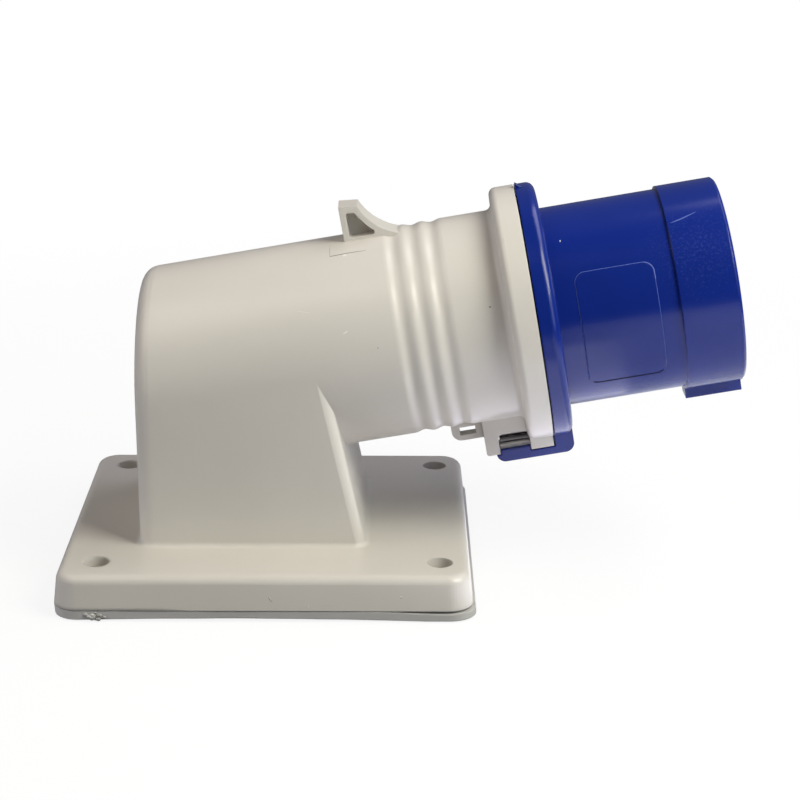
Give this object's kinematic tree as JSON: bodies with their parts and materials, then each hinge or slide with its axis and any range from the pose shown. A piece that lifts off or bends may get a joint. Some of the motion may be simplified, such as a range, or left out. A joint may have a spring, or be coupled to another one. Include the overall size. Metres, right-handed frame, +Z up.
{
  "type": "angled surface-mount appliance inlet",
  "caption": "Surface-mount power inlet: grey hooded base on a gasket, tilted fluted tube with a lid hook, and a blue keyed pin shroud closed by a screw.",
  "frame": {"origin": "middle of the four fixing holes, on the mounting plane under the base gasket", "axes": "+X under the plug, the way it points; +Z up, away from the mounting plane; the plug's axis lies in the XZ plane"},
  "size_m": [0.1465, 0.077, 0.085],
  "materials": {
    "grey_plastic": "moulded, satin to gloss",
    "blue_plastic": "moulded, gloss",
    "gasket_rubber": "soft grey foam rubber",
    "seal_rubber": "black rubber",
    "insulator": "dark moulded insulator",
    "brass": "turned",
    "steel": "zinc plated"
  },
  "bodies": {
    "root": {"housing": "grey_plastic", "base_gasket": "gasket_rubber", "shroud": "blue_plastic", "flange_seal": "seal_rubber", "closing_screw": "steel", "contact_carrier": "insulator", "terminal_cover": "insulator", "earth_contact": "brass", "line_contact": "brass", "neutral_contact": "brass", "earth_clamp": "steel", "line_clamp": "steel", "neutral_clamp": "steel", "terminal_screws": "steel", "carrier_screws": "steel"}
  },
  "joints": []
}
